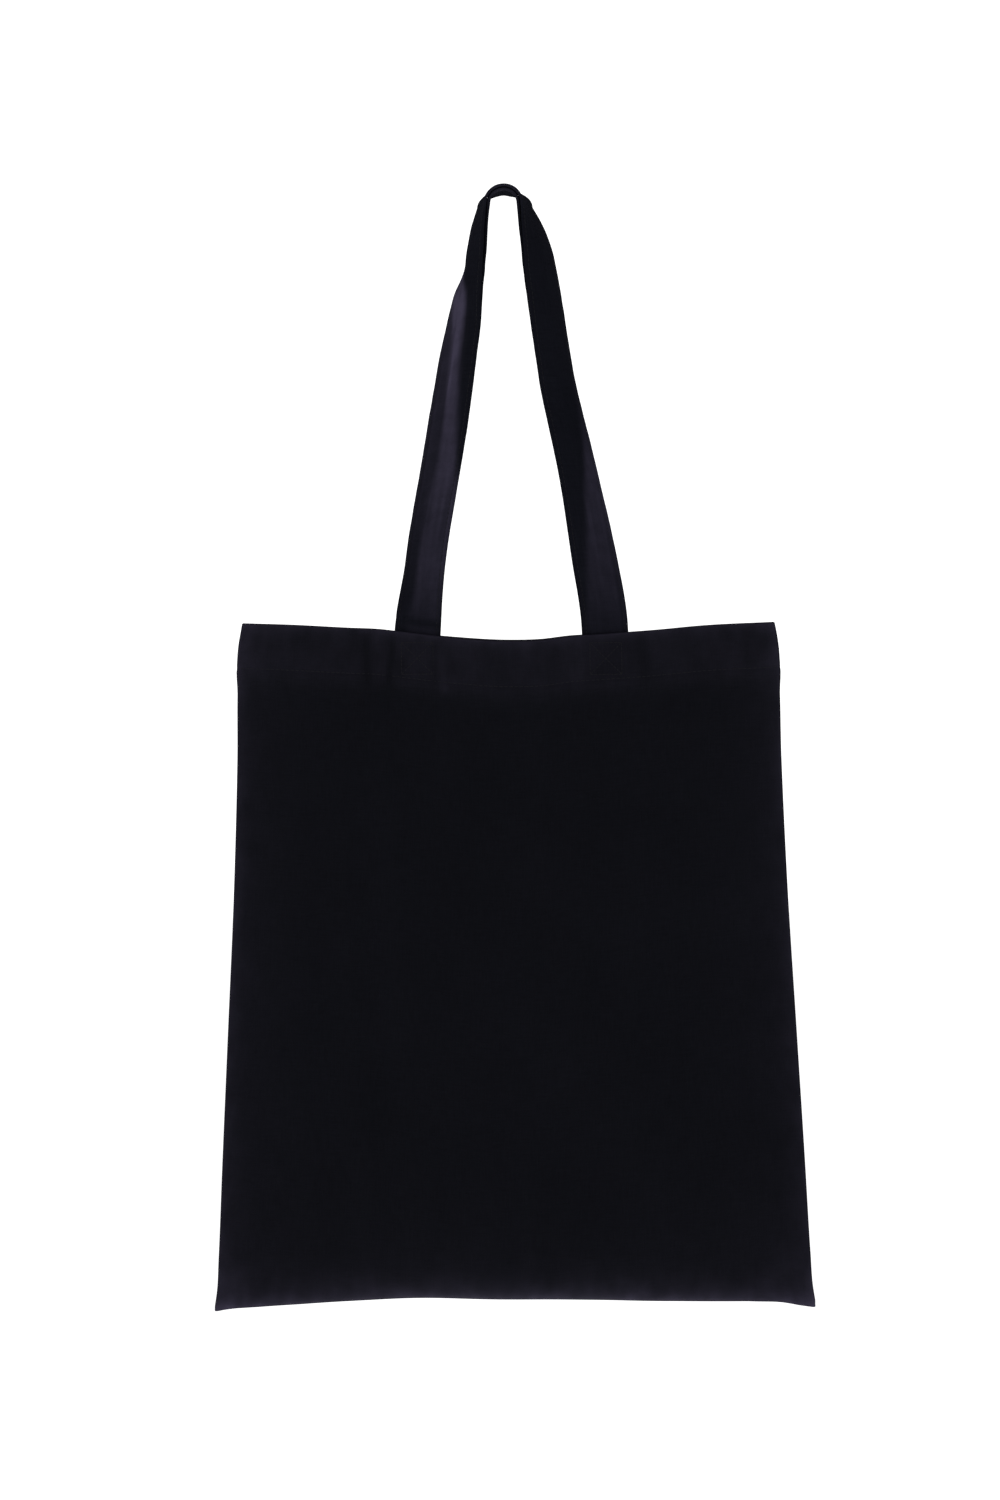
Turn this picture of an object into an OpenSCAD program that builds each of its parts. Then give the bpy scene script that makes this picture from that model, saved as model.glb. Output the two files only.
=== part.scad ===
// Canvas tote bag, hanging empty by its two straps from a round peg.
// Millimetres, +Z up, +X across the bag. -Y is the front.
// The origin is on the axis of the peg, in the middle of the straps' width.

/* [Bag] */
// Width across the bottom corners
bag_w = 381; // [300:1:460]
// Width across the mouth, as the bag hangs
mouth_w = 340; // [260:1:400]
// Height of the side seams
bag_h = 433; // [330:1:520]
// Depth of the mouth from front to back, in its middle
mouth_d = 34; // [28:1:60]
// Depth of the belly from front to back
belly_d = 46; // [34:1:90]
// Drop of the front edge of the mouth in its middle
front_sag = 10.5; // [4:0.5:14]
// Drop of the back edge of the mouth in its middle
back_sag = 8; // [4:0.5:14]
// Rise of the bottom edge in its middle
bottom_rise = 4; // [0:0.5:10]
// Inward bow of each side at half height
side_bow = 2.4; // [0:0.2:6]

/* [Cloth] */
// Thickness of one layer of canvas
canvas_t = 0.9; // [0.6:0.1:1.2]
// Depth of the hem round the mouth
hem_h = 30; // [22:1:40]
// Width of the flat lip along each seam
seam_lip = 3; // [2:0.5:5]
// Width of the seam allowance inside the bag
allowance_w = 10; // [8:1:14]

/* [Straps] */
// Width of a strap
strap_w = 28; // [20:1:38]
// Thickness of a strap
strap_t = 2; // [1.4:0.1:3]
// Distance between the middles of a strap's two legs at the mouth
strap_spacing = 119; // [90:1:150]
// Drop from the axis of the peg to the front edge of the mouth at the straps
strap_drop = 272; // [200:1:360]
// Length of strap that is sewn down inside the hem
sewn_h = 27; // [18:1:34]
// Diameter of the peg that the straps hang on
peg_d = 16; // [12:1:24]

/* [Stitching] */
// Width of a line of thread
thread_w = 0.7; // [0.4:0.1:1]
// Height of the thread above the cloth
thread_t = 0.3; // [0.2:0.1:0.4]
// Distance of the hem's stitch line from the hem's lower fold
hem_margin = 2.5; // [1.5:0.5:5]
// Distance of a strap's stitch lines from its edges
strap_margin = 2.5; // [1.5:0.5:4]
// Width and height of the stitched square over a strap's end
tack_size = 20; // [14:1:24]
// Width of cloth that the overlock thread wraps along a raw edge
overlock_w = 4; // [3:0.5:5]

/* [Hidden] */
$fn = 64;

canvas_colour = [0.07, 0.07, 0.08];
lining_colour = [0.11, 0.11, 0.12];
strap_colour = [0.14, 0.14, 0.16];
thread_colour = [0.03, 0.03, 0.03];

clearance = 0.3;                // between pieces that move past each other
layer_gap = 0.05;               // between layers of cloth that are sewn together
thread_sink = 0.1;              // depth that a thread is pulled into the cloth
hem_t = 2 * canvas_t;           // the hem is turned in twice
seam_half = canvas_t;           // half of the two layers of seam allowance
belly_at = 0.62;                // how far down the bag is fullest, as a share of its height
mouth_half = mouth_w / 2 - seam_lip;
strap_x = strap_spacing / 2;
strap_s = strap_x / mouth_half;
mouth_z = -strap_drop + front_sag * sag_share(strap_s);

panel_cols = 28;
panel_rows = 24;
hem_cols = 20;
strap_cols = 4;
leg_rows = 18;

// ---- Shape of the cloth. s runs from -1 to 1 between the side seams, v from 0 at the mouth to 1 at the bottom.

function limit(a, low, high) = min(high, max(low, a));
function sag_share(s) = (1 + cos(180 * min(1, abs(s)))) / 2;
function edge_z(s, sag) = mouth_z - sag * sag_share(s);
function bottom_z(s) = mouth_z - bag_h + bottom_rise * (1 - s * s);
function run_h(s, sag) = edge_z(s, sag) - bottom_z(s) - seam_lip;
function half_w(z) =
    let (f = limit((mouth_z - z) / bag_h, 0, 1))
    mouth_w / 2 + (bag_w - mouth_w) / 2 * f - side_bow * sin(180 * f);
function swell(v, sag) =
    let (hem_v = hem_h / run_h(0, sag))
    let (rise = sin(90 * limit((v - hem_v) / (belly_at - hem_v), 0, 1)))
    ((mouth_d + (belly_d - mouth_d) * rise) / 2 - canvas_t - seam_half) * sqrt(1 - pow(v, 10));

// Distance from the middle plane to the inner face of a panel
function inner_y(x, z, sag) =
    let (s = min(1, abs(x) / (half_w(z) - seam_lip)))
    let (v = limit((edge_z(s, sag) - z) / run_h(s, sag), 0, 1))
    seam_half + swell(v, sag) * (1 - pow(s, 3));

// ---- Solids between two grids of points. Rows run down, columns run to the right, and a faces the front.

module sheet_solid(a, b, rows, cols) {
    n = rows * cols;
    function at(i, j) = i * cols + j;
    faces_a = [for (i = [0:rows - 2], j = [0:cols - 2])
        each [[at(i, j), at(i, j + 1), at(i + 1, j + 1)], [at(i, j), at(i + 1, j + 1), at(i + 1, j)]]];
    faces_b = [for (f = faces_a) [n + f[0], n + f[2], n + f[1]]];
    top = [for (j = [0:cols - 2])
        each [[at(0, j), n + at(0, j), n + at(0, j + 1)], [at(0, j), n + at(0, j + 1), at(0, j + 1)]]];
    last = rows - 1;
    bottom = [for (j = [0:cols - 2])
        each [[at(last, j), n + at(last, j + 1), n + at(last, j)],
              [at(last, j), at(last, j + 1), n + at(last, j + 1)]]];
    left = [for (i = [0:rows - 2])
        each [[at(i, 0), at(i + 1, 0), n + at(i + 1, 0)], [at(i, 0), n + at(i + 1, 0), n + at(i, 0)]]];
    side = cols - 1;
    right = [for (i = [0:rows - 2])
        each [[at(i, side), n + at(i + 1, side), at(i + 1, side)],
              [at(i, side), n + at(i, side), n + at(i + 1, side)]]];
    polyhedron(points = concat(a, b), faces = concat(faces_a, faces_b, top, bottom, left, right), convexity = 6);
}

// Layer of cloth on the front, from out to in from the panel's inner face, between two depths below the edge
module layer(s_from, s_to, d_from, d_to, out, in, sag, cols) {
    grid = [for (i = [0:1], j = [0:cols]) let (s = s_from + (s_to - s_from) * j / cols)
        [s, edge_z(s, sag) - (i == 0 ? d_from : d_to)]];
    function point(g, off) =
        let (x = g[0] * (half_w(g[1]) - seam_lip))
        [x, -inner_y(x, g[1], sag) - off, g[1]];
    sheet_solid([for (g = grid) point(g, out)], [for (g = grid) point(g, in)], 2, cols + 1);
}

// ---- Panels and hems

module panel(sag) {
    share = [for (i = [0:panel_rows]) 1 - pow(1 - i / panel_rows, 1.5)];
    grid = [for (i = [0:panel_rows + 1], j = [0:panel_cols])
        let (s = limit(2 * (j - 1) / (panel_cols - 2) - 1, -1, 1))
        let (z = i > panel_rows ? bottom_z(s) : edge_z(s, sag) - share[i] * run_h(s, sag))
        [j == 0 ? -half_w(z) : j == panel_cols ? half_w(z) : s * (half_w(z) - seam_lip), z]];
    color(canvas_colour)
        sheet_solid(
            [for (g = grid) [g[0], -inner_y(g[0], g[1], sag) - canvas_t, g[1]]],
            [for (g = grid) [g[0], -inner_y(g[0], g[1], sag), g[1]]],
            panel_rows + 2, panel_cols + 1);
}

module front_panel() { panel(front_sag); }
module back_panel() { mirror([0, 1, 0]) panel(back_sag); }

module hem(sag) {
    reach = 1 - (allowance_w + 1 - seam_lip) / mouth_half;
    color(lining_colour)
        layer(-reach, reach, 0, hem_h, -layer_gap, -layer_gap - hem_t, sag, hem_cols);
}

module front_hem() { hem(front_sag); }
module back_hem() { mirror([0, 1, 0]) hem(back_sag); }

module hem_stitching(sag) {
    d = hem_h - hem_margin;
    color(thread_colour)
        layer(-1, 1, d - thread_w / 2, d + thread_w / 2, canvas_t + thread_t, canvas_t - thread_sink, sag, panel_cols);
}

module front_hem_stitching() { hem_stitching(front_sag); }
module back_hem_stitching() { mirror([0, 1, 0]) hem_stitching(back_sag); }

// ---- Seams. The two panels' edges lie together between them, turned to the inside.

side_steps = 8;

module side_band(from_w, to_w, thick, low) {
    zs = [for (i = [0:side_steps]) mouth_z - (bag_h - low) * i / side_steps];
    rotate([90, 0, 0]) linear_extrude(thick, center = true)
        polygon(concat([for (z = zs) [half_w(z) - from_w, z]],
                       [for (i = [side_steps:-1:0]) [half_w(zs[i]) - to_w, zs[i]]]));
}

module right_seam_allowance() {
    color(lining_colour) side_band(0, allowance_w, 2 * seam_half, 0);
}
module left_seam_allowance() { mirror([1, 0, 0]) right_seam_allowance(); }

module right_overlock_thread() {
    color(thread_colour) difference() {
        side_band(allowance_w - overlock_w, allowance_w + thread_t, 2 * (seam_half + thread_t), allowance_w);
        side_band(-1, allowance_w, 2 * seam_half, 0);
    }
}
module left_overlock_thread() { mirror([1, 0, 0]) right_overlock_thread(); }

module bottom_band(low, high, thick) {
    steps = 16;
    reach = half_w(mouth_z - bag_h + bottom_rise + allowance_w) - allowance_w - thread_t - clearance;
    xs = [for (i = [0:steps]) reach * (2 * i / steps - 1)];
    rotate([90, 0, 0]) linear_extrude(thick, center = true)
        polygon(concat([for (x = xs) [x, bottom_z(2 * x / bag_w) + high]],
                       [for (i = [steps:-1:0]) [xs[i], bottom_z(2 * xs[i] / bag_w) + low]]));
}

module bottom_seam_allowance() {
    color(lining_colour) bottom_band(0, allowance_w, 2 * seam_half);
}

module bottom_overlock_thread() {
    color(thread_colour) difference() {
        bottom_band(allowance_w - overlock_w, allowance_w + thread_t, 2 * (seam_half + thread_t));
        bottom_band(-1, allowance_w, 2 * seam_half);
    }
}

// ---- Sewn ends of the straps, flat inside the hem, and the stitched squares that hold them

module strap_end(sag) {
    half_s = strap_w / 2 / mouth_half;
    out = -hem_t - 2 * layer_gap;
    color(strap_colour)
        layer(strap_s - half_s, strap_s + half_s, 0, sewn_h, out, out - strap_t, sag, strap_cols);
}

module front_right_strap_end() { strap_end(front_sag); }
module front_left_strap_end() { mirror([1, 0, 0]) strap_end(front_sag); }
module back_right_strap_end() { mirror([0, 1, 0]) strap_end(back_sag); }
module back_left_strap_end() { mirror([1, 0, 0]) back_right_strap_end(); }

module tack(sag) {
    mid_z = edge_z(strap_s, sag) - sewn_h / 2;
    face_y = inner_y(strap_x, mid_z, sag) + canvas_t;
    diagonal = tack_size * sqrt(2) - thread_w * 2;
    color(thread_colour)
        translate([strap_x, -face_y + thread_sink, mid_z])
        rotate([0, 0, face_turn(sag)]) rotate([90, 0, 0])
        linear_extrude(thread_sink + thread_t) union() {
            difference() {
                square(tack_size, center = true);
                square(tack_size - 2 * thread_w, center = true);
            }
            for (turn = [45, -45]) rotate(turn) square([diagonal, thread_w], center = true);
        }
}

module front_right_tack() { tack(front_sag); }
module front_left_tack() { mirror([1, 0, 0]) tack(front_sag); }
module back_right_tack() { mirror([0, 1, 0]) tack(back_sag); }
module back_left_tack() { mirror([1, 0, 0]) back_right_tack(); }

// ---- Straps. Each is one loop over the peg, turning from edge-on at the peg to flat at the mouth.

// Turn of the panel's face about +Z at the middle of a strap
function face_turn(sag) =
    let (z = edge_z(strap_s, sag), step = 1)
    atan((inner_y(strap_x - step, z, sag) - inner_y(strap_x + step, z, sag)) / (2 * step));
// Change in the depth of the panel across half of a strap's width
function face_dip(sag) = abs(tan(face_turn(sag))) * strap_w / 2 + clearance / 2;

layers_t = canvas_t + layer_gap + hem_t;                    // all the cloth at the mouth's edge
crown_gap = strap_w * mouth_d / 2 / strap_drop + thread_t + clearance;
back_r = peg_d / 2;                                         // the back strap lies on the peg
front_r = back_r + strap_t + crown_gap;                     // and the front strap over it

seat_h = peg_d / 2 + clearance;                             // straight stretch beside the peg
leg_bow = 2;                                                // outward bow of each leg at half height

// The straps swing on the mouth's top edge, in the middle of its layers
function hinge_y(sag) = inner_y(strap_x, edge_z(strap_s, sag), sag) + canvas_t - layers_t / 2;
function hinge_z(sag) = edge_z(strap_s, sag);
function leg_y(sag) =
    hinge_y(sag) - layers_t / 2 - layer_gap - strap_t / 2 - 2 * face_dip(sag) - clearance;
function leg_end_z(sag) = edge_z(min(1, strap_s + strap_w / 2 / mouth_half), sag) + 3 * clearance;

// Point on a strap's right leg. Level runs from -1 at the peg's axis to 0 under the peg, straight down, and on
// to 1 at the mouth as the leg turns. a runs across the strap's width and b through it.
function leg_point(level, a, b, radius, sag, side) =
    let (u = max(0, level))
    let (turn = 90 * sqrt(u) - side * face_turn(sag) * u)
    let (x = radius + (strap_x - radius) * u + leg_bow * sin(180 * u))
    let (y = -side * leg_y(sag) * u)
    let (z = -seat_h * min(1, 1 + level) + (leg_end_z(sag) + seat_h) * u)
    [x + a * sin(turn) + b * cos(turn), y + a * cos(turn) - b * sin(turn), z];

module leg_band(a_from, a_to, b_in, b_out, cols, radius, sag, side) {
    levels = concat([-1], [for (i = [0:leg_rows]) pow(i / leg_rows, 1.5)]);
    grid = [for (level = levels, j = [0:cols]) [level, a_from + (a_to - a_from) * j / cols]];
    sheet_solid([for (g = grid) leg_point(g[0], g[1], b_out, radius, sag, side)],
                [for (g = grid) leg_point(g[0], g[1], b_in, radius, sag, side)], len(levels), cols + 1);
}

// Loop of strap or thread round the peg and down to the mouth on both sides
module loop(a_from, a_to, b_in, b_out, cols, r_in, sag, side) {
    radius = r_in + strap_t / 2;
    rotate([90, 0, 0]) rotate_extrude(angle = 180)
        translate([radius + b_in, -a_to]) square([b_out - b_in, a_to - a_from]);
    leg_band(a_from, a_to, b_in, b_out, cols, radius, sag, side);
    mirror([1, 0, 0]) leg_band(a_from, a_to, b_in, b_out, cols, radius, sag, side);
}

module strap(r_in, sag, side) {
    color(strap_colour)
        loop(-strap_w / 2, strap_w / 2, -strap_t / 2, strap_t / 2, strap_cols, r_in, sag, side);
}

module strap_stitching(r_in, sag, side) {
    line = strap_w / 2 - strap_margin;
    color(thread_colour) for (a = [-line, line])
        loop(a - thread_w / 2, a + thread_w / 2, strap_t / 2 - thread_sink, strap_t / 2 + thread_t,
             1, r_in, sag, side);
}

module front_strap() { strap(front_r, front_sag, 1); }
module back_strap() { strap(back_r, back_sag, -1); }
module front_strap_stitching() { strap_stitching(front_r, front_sag, 1); }
module back_strap_stitching() { strap_stitching(back_r, back_sag, -1); }

front_panel();
back_panel();
front_hem();
back_hem();
left_seam_allowance();
right_seam_allowance();
bottom_seam_allowance();
left_overlock_thread();
right_overlock_thread();
bottom_overlock_thread();
front_hem_stitching();
back_hem_stitching();
front_strap();
back_strap();
front_strap_stitching();
back_strap_stitching();
front_left_strap_end();
front_right_strap_end();
back_left_strap_end();
back_right_strap_end();
front_left_tack();
front_right_tack();
back_left_tack();
back_right_tack();
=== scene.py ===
import math
import bpy
import numpy as np
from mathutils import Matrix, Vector, noise


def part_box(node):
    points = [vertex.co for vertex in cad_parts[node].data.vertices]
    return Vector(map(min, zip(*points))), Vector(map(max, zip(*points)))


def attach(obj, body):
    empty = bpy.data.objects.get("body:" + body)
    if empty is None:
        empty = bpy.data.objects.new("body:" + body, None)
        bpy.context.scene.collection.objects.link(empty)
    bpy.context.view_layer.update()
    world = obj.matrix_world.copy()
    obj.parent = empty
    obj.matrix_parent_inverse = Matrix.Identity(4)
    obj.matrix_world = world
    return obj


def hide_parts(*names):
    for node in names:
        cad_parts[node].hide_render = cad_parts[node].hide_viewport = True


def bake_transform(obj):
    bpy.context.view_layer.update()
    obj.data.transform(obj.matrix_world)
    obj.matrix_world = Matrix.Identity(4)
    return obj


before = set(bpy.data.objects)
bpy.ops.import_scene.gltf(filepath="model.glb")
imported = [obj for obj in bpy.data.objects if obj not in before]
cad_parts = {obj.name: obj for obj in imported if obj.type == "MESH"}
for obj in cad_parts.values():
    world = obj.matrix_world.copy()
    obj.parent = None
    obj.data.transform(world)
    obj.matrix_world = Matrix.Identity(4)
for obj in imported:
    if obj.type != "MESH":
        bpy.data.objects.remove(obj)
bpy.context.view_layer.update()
mm = 0.001

# the origin is on the axis of the peg that the straps hang from
panelLow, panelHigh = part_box("front_panel")

bag = {
    "mouthZ": panelHigh.z,
    "bottomZ": panelLow.z,
    # depth below the mouth as a share of the bag's height, and half of the bag's width there
    "widthAt": (0, 0.03, 0.07, 0.2, 0.4, 0.6, 0.8, 0.93, 0.98, 1),
    "halfWidth": (167.0, 169.4, 170.8, 172.0, 175.2, 179.8, 184.4, 187.2, 188.6, 190.0),
    # the mouth's edge, from the left corner to the right one, and its depth below the highest point
    "mouthAt": (-1, -0.82, -0.6, -0.49, -0.35, -0.21, 0, 0.125, 0.235, 0.35, 0.51, 0.75, 1),
    "mouthDrop": (0.5, 1.9, 4.3, 5.3, 8.4, 11.3, 14.0, 13.6, 11.2, 10.1, 8.3, 4.9, 3.1),
    "sagShare": {"front": 1.0, "back": 0.85},
    # the bottom edge, from the left corner to the right one, and its height above bottomZ
    "bottomAt": (-1, -0.96, -0.85, -0.6, -0.3, -0.05, 0.2, 0.5, 0.8, 0.9, 0.94, 1),
    "bottomRise": (-2.2, -1.0, 0.3, 3.0, 4.9, 3.3, 2.8, 1.2, 0.4, -0.5, -1.9, -3.5),
    "mouthSwell": 14.2,          # from the seams' plane to the cloth, front or back
    "bellySwell": 20.4,
    "bellyAt": 0.62,
}
cloth = {
    "thickness": 0.78,
    "gap": 0.07,                 # between layers that are sewn together
    "hemDepth": 30,
    "turnedUnder": 10,
    "hemStitchDepth": 27.5,
    "seamLayer": 0.41,           # from the middle plane to the middle of each layer of a seam
    "seamThickness": 1.3,        # from the middle plane to the cloth beside a seam
    "hemThickness": 3.1,         # the same at the hem, which has more layers
}
sideOf = {"front": -1.0, "back": 1.0}
bagHeight = bag["mouthZ"] - bag["bottomZ"]
hemInside = 2 * (cloth["thickness"] + cloth["gap"]) + cloth["thickness"] / 2    # from a panel's middle


def smooth(t):
    t = np.clip(t, 0, 1)
    return t * t * (3 - 2 * t)


def hump(x, middle, width):
    return np.exp(-((x - middle) / width) ** 2)


def curveThrough(x, keys, values):
    # a smooth curve through a few points
    keys, values = np.array(keys, float), np.array(values, float)
    slopes = np.gradient(values, keys)
    x = np.clip(x, keys[0], keys[-1])
    i = np.clip(np.searchsorted(keys, x, side="right") - 1, 0, len(keys) - 2)
    step = keys[i + 1] - keys[i]
    t = (x - keys[i]) / step
    start, end = values[i], values[i + 1]
    return ((2 * t**3 - 3 * t**2 + 1) * start + (t**3 - 2 * t**2 + t) * step * slopes[i]
            + (3 * t**2 - 2 * t**3) * end + (t**3 - t**2) * step * slopes[i + 1])


def softNoise(x, y, size, seed):
    # smooth noise from -1 to 1 over a flat piece of cloth, the same every time
    shape = np.shape(x)
    layer = seed * 7.31          # each seed reads its own slice of the noise
    pairs = zip(np.ravel(x), np.ravel(y))
    found = [noise.noise(Vector((a / size, b / size, layer))) for a, b in pairs]
    return np.array(found).reshape(shape)


def unit(vectors):
    return vectors / np.maximum(np.linalg.norm(vectors, axis=-1, keepdims=True), 1e-12)


def topZ(side, s):
    left, right = bag["mouthDrop"][0], bag["mouthDrop"][-1]
    corners = (left + right) / 2 + (right - left) / 2 * np.clip(s, -1, 1)
    drop = curveThrough(s, bag["mouthAt"], bag["mouthDrop"])
    return bag["mouthZ"] - (corners + (drop - corners) * bag["sagShare"][side]) * mm


def bottomEdgeZ(s):
    return bag["bottomZ"] + curveThrough(s, bag["bottomAt"], bag["bottomRise"]) * mm


def halfWidth(z):
    return curveThrough((bag["mouthZ"] - z) / bagHeight, bag["widthAt"], bag["halfWidth"]) * mm


def heightAt(side, s):
    return topZ(side, s) - bottomEdgeZ(s)


def depthBelow(side, s, v):
    # distance below the mouth's edge
    return heightAt(side, s) * v


def seamGap(side, s, v):
    hemZone = 1 - smooth((depthBelow(side, s, v) / mm - cloth["hemDepth"]) / 14)
    return (cloth["seamThickness"] + (cloth["hemThickness"] - cloth["seamThickness"]) * hemZone) * mm


def plainSurface(side, s, v):
    # the middle of a panel's cloth: s runs from -1 to 1 across it, v from 0 at the mouth to 1 at the bottom
    z = topZ(side, s) - depthBelow(side, s, v)
    x = s * halfWidth(z)
    hemShare = cloth["hemDepth"] * mm / bagHeight
    rise = np.sin(math.pi / 2 * np.clip((v - hemShare) / (bag["bellyAt"] - hemShare), 0, 1))
    swell = bag["mouthSwell"] + (bag["bellySwell"] - bag["mouthSwell"]) * rise
    swell = swell * np.sqrt(np.clip(1 - np.clip(v, 0, 1) ** 10, 0, 1))
    swell = swell * (1 - np.clip(np.abs(s), 0, 1) ** 3)
    return np.stack([x, sideOf[side] * (seamGap(side, s, v) + swell * mm), z], -1)


def shareAcross(x, z):
    return np.clip(x / halfWidth(z), -1, 1)


def shareDown(side, s, z):
    return (topZ(side, s) - z) / heightAt(side, s)


drape = {
    "columns": 81,
    "rows": 73,
    "frames": 40,
    "spareWidth": 0.012,         # the cloth is cut this much wider than the space it hangs in
    "strength": 0.8,
    "cloth": {
        "quality": 6,
        "mass": 0.02,
        "tension_stiffness": 30,
        "compression_stiffness": 20,
        "shear_stiffness": 10,
        "bending_stiffness": 0.6,
        "tension_damping": 8,
        "compression_damping": 8,
        "air_damping": 3,
        "vertex_group_mass": "held",
        "pin_stiffness": 5,
        "use_pressure": True,
        "uniform_pressure_force": 0.12,
    },
}
drapeField = {side: None for side in sideOf}


def sampleField(field, s, v):
    # smooth lookup in a field that is known on an even grid
    rows, columns = field.shape[:2]
    a = np.clip((s + 1) / 2, 0, 1) * (columns - 1)
    b = np.clip(v, 0, 1) * (rows - 1)
    column = np.clip(np.floor(a).astype(int), 0, columns - 2)
    row = np.clip(np.floor(b).astype(int), 0, rows - 2)

    def weights(t):
        return ((-t + 2 * t**2 - t**3) / 2, (2 - 5 * t**2 + 3 * t**3) / 2,
                (t + 4 * t**2 - 3 * t**3) / 2, (t**3 - t**2) / 2)

    total = 0
    for i, across in enumerate(weights(a - column)):
        for j, down in enumerate(weights(b - row)):
            picked = field[np.clip(row + j - 1, 0, rows - 1), np.clip(column + i - 1, 0, columns - 1)]
            total = total + picked * (across * down)[..., None]
    return total


def hungSurface(side, s, v):
    found = plainSurface(side, s, v)
    if drapeField[side] is not None:
        found = found + sampleField(drapeField[side], s, v) * drape["strength"]
    return found


def surfaceNormal(side, s, v):
    step = 2e-3
    right, left = np.clip(s + step, -1, 1), np.clip(s - step, -1, 1)
    lower, upper = np.clip(v + step, 0, 0.9995), np.clip(v - step, 0, 0.9985)
    across = hungSurface(side, right, v) - hungSurface(side, left, v)
    down = hungSurface(side, s, lower) - hungSurface(side, s, upper)
    return unit(np.cross(across, down)) * sideOf[side]


relief = {
    "hemStitchDip": 0.25,
    "hemPucker": 0.22,
    "hemStep": 0.22,             # the hem's extra layers stand out this much from the cloth below
    "strapBulge": 0.55,
    "strapHalf": 14.2,
    "sidePucker": 0.45,
    "bottomPucker": 0.6,
    "crumple": 0.35,
    "seed": {"front": 3, "back": 11},
}
# folds that run down the hem beside the straps: place across the bag, half width, dip, paleness (painted
# shade in the hollows, painted highlight on the ridges)
tugs = {
    "front": (
        (-90, 3.6, 0.8, -0.9), (-82.5, 3.2, -0.3, 0.1), (-74.5, 2.8, 1.0, -1.0), (-58, 12, -0.1, 0.35),
        (-46.5, 2.3, 0.6, -0.4), (-41, 3.0, -0.7, 0.9), (-33, 9, 0.0, 0.35), (45, 5, -0.4, 0.3),
        (86, 5, 0.6, -0.8),
    ),
    "back": (
        (-86, 4, 0.6, -0.7), (-43, 3, 0.7, -0.6), (46, 3, 0.8, -0.8), (79, 3.2, -0.5, 0.5),
        (90, 4, 0.7, -0.7),
    ),
}
strapPlace = {"left": -57.5, "right": 61.5}    # middles of the sewn ends across the bag


def tugAt(side, x, depth, column):
    # x and depth in millimetres; column 2 is the dip and 3 the paleness, the painted shade and highlight
    # along the folds
    reach = smooth((depth + 2) / 5) * (1 - smooth((depth - cloth["hemDepth"]) / 18))
    total = 0
    for tug in tugs[side]:
        middle = tug[0] + 0.9 * np.sin(depth / 9 + tug[0])
        total = total + tug[column] * hump(x, middle, tug[1])
    return total * reach


def reliefHeight(side, s, v):
    # how far stitching and layers lift the cloth or pull it in
    z = topZ(side, s) - depthBelow(side, s, v)
    x = s * halfWidth(z) / mm
    depth = depthBelow(side, s, v) / mm
    sideDistance = (1 - np.abs(s)) * halfWidth(z) / mm
    bottomDistance = (1 - v) * heightAt(side, s) / mm
    seed = relief["seed"][side]
    line = hump(depth, cloth["hemStitchDepth"], 1.5)
    nearHem = smooth(depth / 7) * (1 - smooth((depth - cloth["hemStitchDepth"] - 2) / 12))
    puckers = softNoise(x + 0.45 * depth, depth * 0.3, 6.5, seed)
    puckers += 0.5 * softNoise(x, depth * 0.3, 3.4, seed + 1)
    height = -relief["hemStitchDip"] * line + relief["hemPucker"] * puckers * nearHem
    height += relief["hemStep"] * (1 - smooth((depth - cloth["hemDepth"] + 1) / 3))
    for middle in strapPlace.values():
        out = np.abs(x - middle)
        reach = 1 - smooth((depth - cloth["hemStitchDepth"] - 1) / 5)
        height += relief["strapBulge"] * (1 - smooth((out - relief["strapHalf"]) / 3)) * reach
    height -= tugAt(side, x, depth, 2)
    nearSide = np.exp(-sideDistance / 5.5) * smooth(sideDistance / 1.2)
    height += relief["sidePucker"] * nearSide * softNoise(depth, sideDistance * 0.2, 7.5, seed + 2)
    nearBottom = np.exp(-bottomDistance / 7) * smooth(bottomDistance / 1.0)
    height += relief["bottomPucker"] * nearBottom * softNoise(x, bottomDistance * 0.2, 9, seed + 3)
    height += 0.6 * relief["bottomPucker"] * nearBottom * softNoise(x, bottomDistance * 0.2, 3.8, seed + 4)
    height += relief["crumple"] * softNoise(x, depth * 0.6, 34, seed + 5) * smooth(sideDistance / 20)
    return height * mm


def clothPoint(side, s, v, lift=0.0):
    # a point on the panel, and the direction out of the cloth there
    normal = surfaceNormal(side, s, v)
    height = reliefHeight(side, s, v) + lift
    return hungSurface(side, s, v) + normal * height[..., None], normal


def gridFaces(rows, columns):
    at = np.arange(rows * columns).reshape(rows, columns)
    return np.stack([at[:-1, :-1], at[:-1, 1:], at[1:, 1:], at[1:, :-1]], -1).reshape(-1, 4)


def addObject(name, data):
    made = bpy.data.objects.new(name, data)
    bpy.context.scene.collection.objects.link(made)
    return made


def makeMesh(name, points, faces, flat, wearAndSheen):
    # flat holds each point's place on the flat cloth in metres, for the weave
    mesh = bpy.data.meshes.new(name)
    mesh.from_pydata(points.tolist(), [], faces)
    corner = np.zeros(len(mesh.loops), int)
    mesh.loops.foreach_get("vertex_index", corner)
    mesh.uv_layers.new(name="flat").data.foreach_set("uv", flat[corner].astype(np.float32).ravel())
    # the share of the pale colour: painted sheen and highlights, with some rubbed wear
    mesh.attributes.new("wearAndSheen", "FLOAT", "POINT").data.foreach_set("value", wearAndSheen.astype(np.float32))
    return addObject(name, mesh)


def bake(made):
    # the object's modifiers become its mesh
    evaluated = made.evaluated_get(bpy.context.evaluated_depsgraph_get())
    settled = bpy.data.meshes.new_from_object(evaluated)
    made.modifiers.clear()
    made.data = settled


def thicken(made, thickness):
    solid = made.modifiers.new("thickness", "SOLIDIFY")
    solid.thickness = thickness
    solid.offset = 0
    solid.use_even_offset = False
    bake(made)
    made.data.shade_smooth()
    made.data.set_sharp_from_angle(angle=math.radians(48))


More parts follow.
